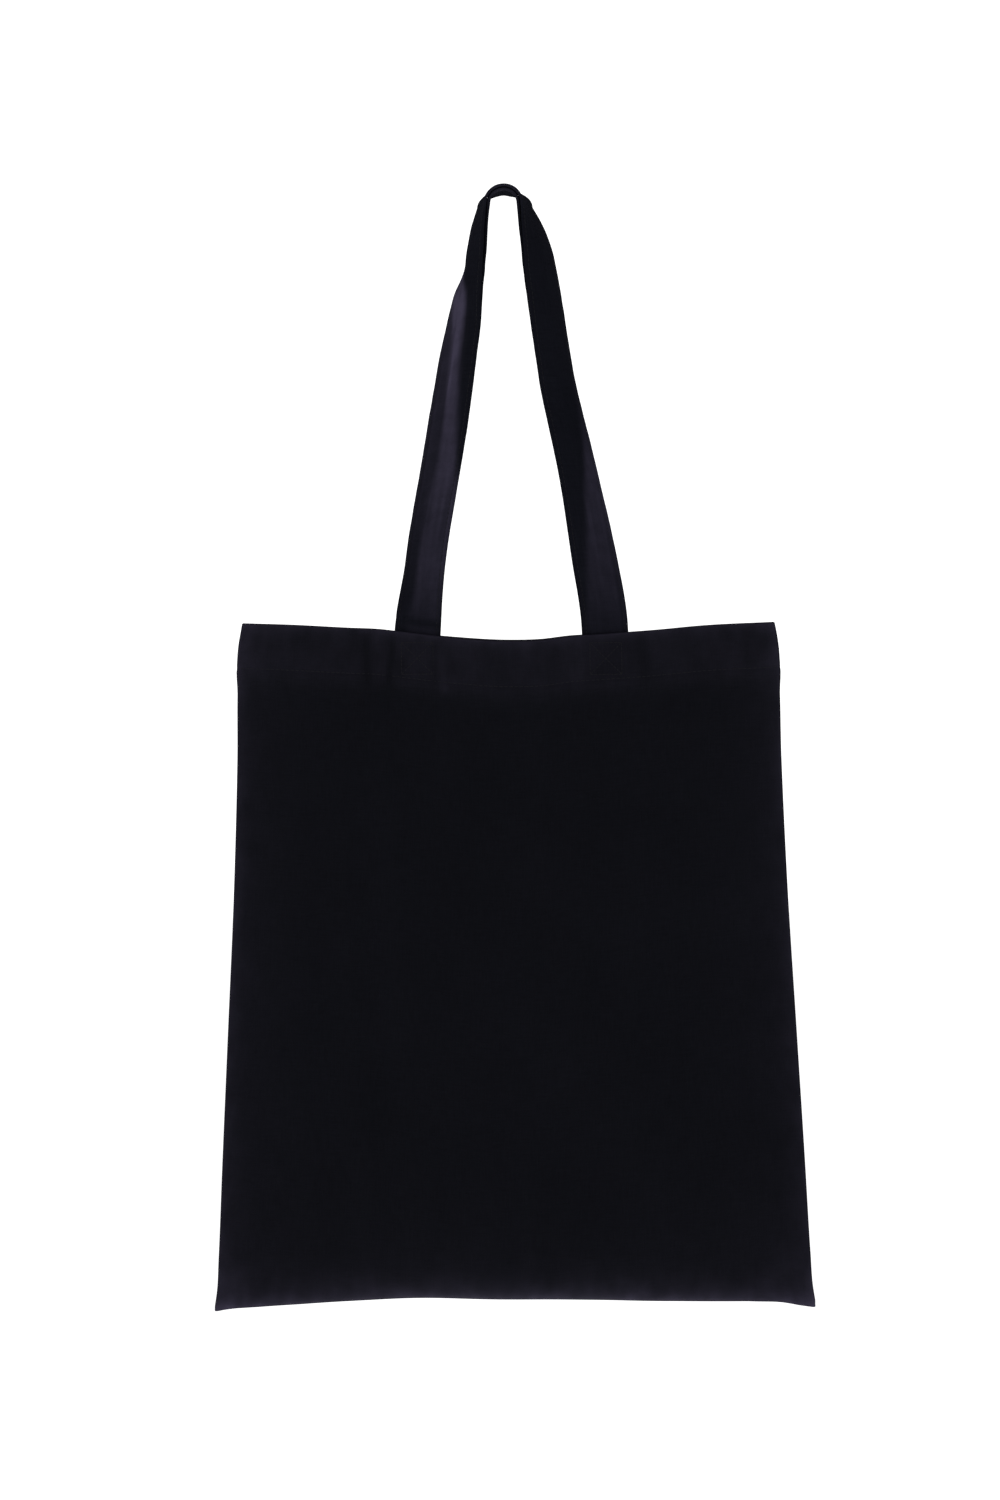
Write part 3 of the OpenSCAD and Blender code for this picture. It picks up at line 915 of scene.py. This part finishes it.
# painted highlights and light on the straps, as a share of the paler colour
def paintedStrapSheenShare(q, a):
    depth = np.maximum(np.abs(q) - crownLength, 0) / mm
    across = a[None, :] / (strap["halfWidth"] * mm)
    both = []
    for hand in ("left", "right"):
        keys = paintedStrapSheen[hand]
        start, end, pale, beyond = (curveThrough(depth, keys["depths"], keys[key])[:, None]
                                    for key in ("start", "end", "pale", "beyond"))
        inside = smooth((across - start) / 0.4 + 0.5)
        outside = smooth((across - end) / 0.3 + 0.5)
        both.append(pale * inside * (1 - outside) + beyond * outside)
    # painted shade: the crease above the hem on the left leg loses its paleness
    both[0] = both[0] * (1 - 0.95 * creaseAt(depth, a))
    # painted highlight along the strap's edges over the peg
    edges = 0.3 * smooth((np.abs(across) - 0.75) * 6) * hump(q / mm, 0, 16)[:, None]
    along, aside = np.meshgrid(q / mm, a / mm, indexing="ij")
    # lengthwise streaks in the painted highlight
    streaks = 1 + 0.45 * softNoise(aside * 24, along, 60, 71)
    return np.clip(np.where(q[:, None] < 0, both[0], both[1]) * streaks + edges, 0, 1) ** 1.4


def creaseAt(depth, a):
    # the left leg is creased just above the hem
    return hump(depth[:, None] + 0.15 * a[None, :] / mm, 264.5, 2.6)


def lengthAlong(line):
    return np.concatenate([[0], np.cumsum(np.linalg.norm(np.diff(line, axis=0), axis=1))])


def strapMesh(side, name):
    q = strapRows(side)
    half = strap["halfWidth"] * mm
    stops = np.array([0.11, 0.22, 0.38, 0.55, 0.7, 0.78, 0.82, 0.86, 0.9, 0.95, 1])
    stops = np.concatenate([-stops[::-1], [0], stops])
    body = half - strap["thickness"] / 2 * mm
    a = stops * body
    thick = strapThickness(side, q, a)
    wave = bodyWave(side, q, a)
    outer, normal = strapPoint(side, q, a, wave + thick)
    innerFace, _ = strapPoint(side, q, a[::-1], (wave - thick)[:, ::-1])
    rings = [outer]
    edgeRadius = strap["thickness"] / 2 * mm
    for hand, turns in ((1, (-54, -18, 18, 54)), (-1, (54, 18, -18, -54))):
        turns = np.radians(turns)
        reach = hand * (body + edgeRadius * np.cos(turns))
        end = [-1 if hand > 0 else 0]
        level = wave[:, end] - thick[:, end] * np.sin(turns)[None, :]
        rings.append(strapPoint(side, q, reach, level)[0])
        if hand > 0:
            rings.append(innerFace)
    section = np.concatenate(rings, 1)
    rows, around = section.shape[:2]
    index = np.arange(rows * around).reshape(rows, around)
    closed = np.hstack([index, index[:, :1]])
    faces = closed.ravel()[gridFaces(*closed.shape)].tolist()
    # round the ends off with a few shrinking rings
    caps = []
    for row, sign in ((0, -1), (rows - 1, 1)):
        ring = section[row]
        centre = ring.mean(0)
        along = unit(section[row] - section[row - sign]).mean(0)
        flatLine = centre + (ring - centre) * np.array([1, 0.0, 1])
        caps.append((row, [ring * (1 - share) + flatLine * share + along * reach * mm
                           for share, reach in ((0.35, 0.45), (0.8, 0.8))]))
    allPoints = [section.reshape(-1, 3)]
    count = rows * around
    for row, extra in caps:
        before = index[row]
        for ring in extra:
            now = np.arange(around) + count
            quads = np.stack([before, np.roll(before, -1), np.roll(now, -1), now], -1)
            faces += (quads if row else quads[:, ::-1]).tolist()
            allPoints.append(ring)
            before = now
            count += around
        faces.append((before if row else before[::-1]).tolist())
    points = np.concatenate(allPoints)
    ringWalk = lengthAlong(section[rows // 2])
    flat = np.stack(np.meshgrid(q, ringWalk, indexing="ij")[::-1], -1).reshape(-1, 2)
    flat = np.concatenate([flat] + [flat[:around]] * 2 + [flat[-around:]] * 2)
    # painted highlight bands on the straps
    sheenBands = paintedStrapSheenShare(q, a)
    outerEdge, innerEdge = (np.repeat(column, 4, 1) for column in (sheenBands[:, -1:], sheenBands[:, :1]))
    wearAndSheen = np.concatenate([sheenBands, outerEdge, sheenBands[:, ::-1], innerEdge], 1)
    wearAndSheen = np.concatenate([wearAndSheen.ravel(), np.full(len(points) - rows * around, 0.1)])
    made = makeMesh(name, points, faces, flat, wearAndSheen)
    made.data.shade_smooth()
    made.data.materials.append(strapCanvas)
    return made


straps = {side: strapMesh(side, side + "Strap") for side in sideOf}
print("straps made")


sewing = {
    "hem": {"every": 3.2, "length": 2.9, "width": 0.46, "height": 0.24},
    "strap": {"every": 3.0, "length": 2.7, "width": 0.46, "height": 0.26},
    "tack": {"every": 2.6, "length": 2.4, "width": 0.46, "height": 0.24},
    "overlock": {"every": 1.7, "length": 4.6, "width": 0.42, "height": 0.32},
}
tackHalf, tackDepth = 10, 24.5     # the sewn square's half width, and its lower side below the mouth


def makeStitchTree():
    tree = bpy.data.node_groups.new("stitches", "GeometryNodeTree")
    wanted = (
        ("Places", "NodeSocketGeometry"), ("Stitch length", "NodeSocketFloat"),
        ("Stitch width", "NodeSocketFloat"), ("Stitch height", "NodeSocketFloat"),
        ("Unevenness", "NodeSocketFloat"), ("Seed", "NodeSocketInt"), ("Thread", "NodeSocketMaterial"),
    )
    for label, kind in wanted:
        tree.interface.new_socket(label, in_out="INPUT", socket_type=kind)
    tree.interface.new_socket("Stitches", in_out="OUTPUT", socket_type="NodeSocketGeometry")
    given = tree.nodes.new("NodeGroupInput").outputs
    bead = addNode(tree, "GeometryNodeMeshUVSphere", {"Segments": 8, "Rings": 5, "Radius": 0.5})
    size = addNode(tree, "ShaderNodeCombineXYZ", {
        0: given["Stitch length"], 1: given["Stitch width"], 2: given["Stitch height"]})
    shaped = addNode(tree, "GeometryNodeTransform", {"Geometry": bead.outputs[0], "Scale": size.outputs[0]})
    smoothed = addNode(tree, "GeometryNodeSetShadeSmooth", {0: shaped.outputs[0]})
    along, outward = (addNode(tree, "GeometryNodeInputNamedAttribute", {"Name": label},
                              data_type="FLOAT_VECTOR").outputs[0] for label in ("along", "faceOut"))
    turn = addNode(tree, "FunctionNodeAxesToRotation", {0: along, 1: outward},
                   primary_axis="X", secondary_axis="Z")
    uneven = addNode(tree, "FunctionNodeRandomValue", {
        2: compute(tree, "SUBTRACT", 1.0, given["Unevenness"]),
        3: compute(tree, "ADD", 1.0, given["Unevenness"]),
        "Seed": given["Seed"],
    }, data_type="FLOAT")
    scale = addNode(tree, "ShaderNodeCombineXYZ", {0: uneven.outputs[1], 1: 1.0, 2: 1.0})
    put = addNode(tree, "GeometryNodeInstanceOnPoints", {
        "Points": given["Places"], "Instance": smoothed.outputs[0],
        "Rotation": turn.outputs[0], "Scale": scale.outputs[0]})
    real = addNode(tree, "GeometryNodeRealizeInstances", {0: put.outputs[0]})
    dyed = addNode(tree, "GeometryNodeSetMaterial", {0: real.outputs[0], "Material": given["Thread"]})
    end = tree.nodes.new("NodeGroupOutput")
    tree.links.new(dyed.outputs[0], end.inputs[0])
    return tree


stitchTree = makeStitchTree()


def sew(name, kind, rows, material, seed):
    # rows holds (places, directions, outward directions) for each run of stitches
    places, along, outward = (np.concatenate([row[i] for row in rows]) for i in range(3))
    mesh = bpy.data.meshes.new(name)
    mesh.from_pydata(places.tolist(), [], [])
    for label, values in (("along", along), ("faceOut", outward)):
        mesh.attributes.new(label, "FLOAT_VECTOR", "POINT").data.foreach_set(
            "vector", values.astype(np.float32).ravel())
    made = addObject(name, mesh)
    sewn = made.modifiers.new("stitches", "NODES")
    sewn.node_group = stitchTree
    size = sewing[kind]
    wanted = {"Stitch length": size["length"] * mm, "Stitch width": size["width"] * mm,
              "Stitch height": size["height"] * mm, "Unevenness": 0.08, "Seed": seed, "Thread": material}
    for item in stitchTree.interface.items_tree:
        if item.in_out == "INPUT" and item.name in wanted:
            sewn[item.identifier] = wanted[item.name]
    bake(made)
    for label in ("along", "faceOut"):
        left = made.data.attributes.get(label)
        if left:
            made.data.attributes.remove(left)
    return made


def runOf(places, outward):
    # directions along a line of evenly spaced places
    along = unit(np.gradient(places, axis=0))
    return places, along, outward


def evenly(start, end, every):
    return np.linspace(start, end, max(2, int(round(abs(end - start) / (every * mm))) + 1))


def onPanel(side, x, z, lift):
    s = shareAcross(x, z)
    return clothPoint(side, s, shareDown(side, s, z), lift * mm)


def hemRun(side, inside):
    half = halfWidth(bag["mouthZ"] - cloth["hemStitchDepth"] * mm) - 2 * mm
    x = evenly(-half, half, sewing["hem"]["every"])
    s = x / (half + 2 * mm)
    v = cloth["hemStitchDepth"] * mm / heightAt(side, s)
    lift = -hemInside if inside else cloth["thickness"] / 2
    kept = np.abs(s) < (0.975 if inside else 1)
    places, outward = clothPoint(side, s, v, lift * mm)
    return runOf(places[kept], outward[kept] * (-1 if inside else 1))


def tackLines(middle, low):
    # a square with its diagonals: start and end of each line across and up, in metres
    half = tackHalf * mm
    left, right, high = middle - half, middle + half, low + 2 * half
    a, b, c, d = (left, low), (right, low), (right, high), (left, high)
    return (a, b), (b, c), (c, d), (d, a), (a, c), (b, d)


def tackRuns(side, hand):
    middle = strapPlace[hand] * mm
    edge = float(topZ(side, shareAcross(np.array(middle), np.array(bag["mouthZ"]))))
    runs = []
    for (x0, z0), (x1, z1) in tackLines(middle, edge - tackDepth * mm):
        count = max(3, int(round(math.hypot(x1 - x0, z1 - z0) / (sewing["tack"]["every"] * mm))))
        share = (np.arange(count) + 0.5) / count
        x, z = x0 + (x1 - x0) * share, z0 + (z1 - z0) * share
        places, outward = onPanel(side, x, z, cloth["thickness"] / 2)
        runs.append(runOf(places, outward))
        s = shareAcross(x, z)
        inner = plainSurface(side, s, shareDown(side, s, z))
        inner[:, 1] -= sideOf[side] * (hemInside + 0.05 + strap["thickness"]) * mm
        runs.append(runOf(inner, np.tile([0.0, -sideOf[side], 0.0], (count, 1))))
    return runs


def strapRuns(side):
    rows = strapRows(side)
    q = evenly(rows[0] + 2 * mm, rows[-1] - 2 * mm, sewing["strap"]["every"])
    line = (strap["halfWidth"] - strap["stitchInset"]) * mm
    runs = []
    for a in (-line, line):
        across = np.array([a])
        wave, thick = bodyWave(side, q, across), strapThickness(side, q, across)
        for face in (1, -1):
            found = strapPoint(side, q, across, wave + face * thick)
            places, outward = (values[:, 0] for values in found)
            edge = topZ(side, shareAcross(places[:, 0], places[:, 2]))
            touching = face == -sideOf[side]
            kept = (places[:, 2] > edge + 2 * mm) | (not touching)
            run = runOf(places, outward * face)
            runs.append(tuple(part[kept] for part in run))
    return runs


def overlockRuns(layers):
    # threads over both faces of the raw edge and round it
    front, back = layers[-1], layers[1]
    line = (front[:, -1] + back[:, -1]) / 2
    total = lengthAlong(line)
    at = evenly(2 * mm, total[-1] - 2 * mm, sewing["overlock"]["every"])

    def follow(points, shift):
        return np.stack([np.interp(at + shift, total, points[:, i]) for i in range(3)], -1)

    runs = []
    lean = 0.45 * sewing["overlock"]["every"] * mm
    for facing, layer in ((-1, front), (1, back)):
        out = np.zeros((len(at), 3))
        out[:, 1] = facing
        offset = np.array([0, facing * (allowance["thickness"] / 2 + 0.05) * mm, 0])
        edge = follow(layer[:, -1], lean) + offset
        inner = follow(layer[:, 4], -lean) + offset
        runs.append(((edge + inner) / 2, unit(edge - inner), out))
    return runs


for side in sideOf:
    piece = sew(side + "HemStitches", "hem", [hemRun(side, False), hemRun(side, True)], thread, 5)
    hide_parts(side + "_hem_stitching")
    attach(piece, "bag")
    for hand in ("left", "right"):
        piece = sew(side + hand.capitalize() + "Tack", "tack", tackRuns(side, hand), thread, 6)
        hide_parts(f"{side}_{hand}_tack")
        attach(piece, "bag")
    piece = sew(side + "StrapStitches", "strap", strapRuns(side), thread, 7)
    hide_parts(side + "_strap_stitching")
    straps[side + "Stitches"] = piece
for hand, layers in rawEdges.items():
    piece = sew(hand + "Overlock", "overlock", overlockRuns(layers), overlockThread, 8)
    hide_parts(hand + "_overlock_thread")
    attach(piece, "bag")
print("stitching made")


view = {
    "place": (-5.9 * mm, -2.7, -345.9 * mm),
    "roll": 0.6,
    "frameHeight": 0.953,
}
camera = addObject("camera", bpy.data.cameras.new("camera"))
camera.location = view["place"]
camera.rotation_euler = (math.radians(90), math.radians(view["roll"]), 0)
camera.data.sensor_width = 36
camera.data.lens = 36 * abs(view["place"][1]) / view["frameHeight"]
camera.data.clip_end = 60
bpy.context.scene.camera = camera

lamps = {
    # place, size in metres, power in watts, colour
    "key": ((-2.3, -2.4, 0.9), 1.2, 19, (1.0, 0.98, 1.0)),
    "fill": ((2.2, -2.2, 0.2), 1.8, 6, (0.96, 0.96, 1.0)),
}
aim = Vector((0, 0, -0.36))
for name, (place, size, power, colour) in lamps.items():
    lamp = bpy.data.lights.new(name, "AREA")
    lamp.size = size
    lamp.energy = power
    lamp.color = colour
    made = addObject(name, lamp)
    made.location = place
    made.rotation_euler = (aim - Vector(place)).to_track_quat("-Z", "Y").to_euler()
    made.visible_camera = False

world = bpy.data.worlds.new("studio")
world.use_nodes = True
bpy.context.scene.world = world
sky = world.node_tree
seen = addNode(sky, "ShaderNodeLightPath").outputs["Is Camera Ray"]
brightness = compute(sky, "MULTIPLY_ADD", seen, 1.0, 0.33)
plug(sky, sky.nodes["Background"], {0: (1, 1, 1, 1), 1: brightness})

floorMesh = bpy.data.meshes.new("floor")
floorMesh.from_pydata([(-9, -9, -0.8), (9, -9, -0.8), (9, 9, -0.8), (-9, 9, -0.8)], [], [(0, 1, 2, 3)])
floor = addObject("floor", floorMesh)
paper, paperTree, paperShader = newMaterial("palePaper")
plug(paperTree, paperShader, {
    "Base Color": (0.9, 0.9, 0.9, 1),
    "Roughness": 0.9,
    "Emission Color": (1, 1, 1, 1),
    "Emission Strength": 0.85,
})
floorMesh.materials.append(paper)
bpy.context.scene.view_settings.view_transform = "Standard"

for side in sideOf:
    made = straps[side]
    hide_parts(side + "_strap", side + "_left_strap_end", side + "_right_strap_end")
    for piece in (made, straps[side + "Stitches"]):
        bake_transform(piece)
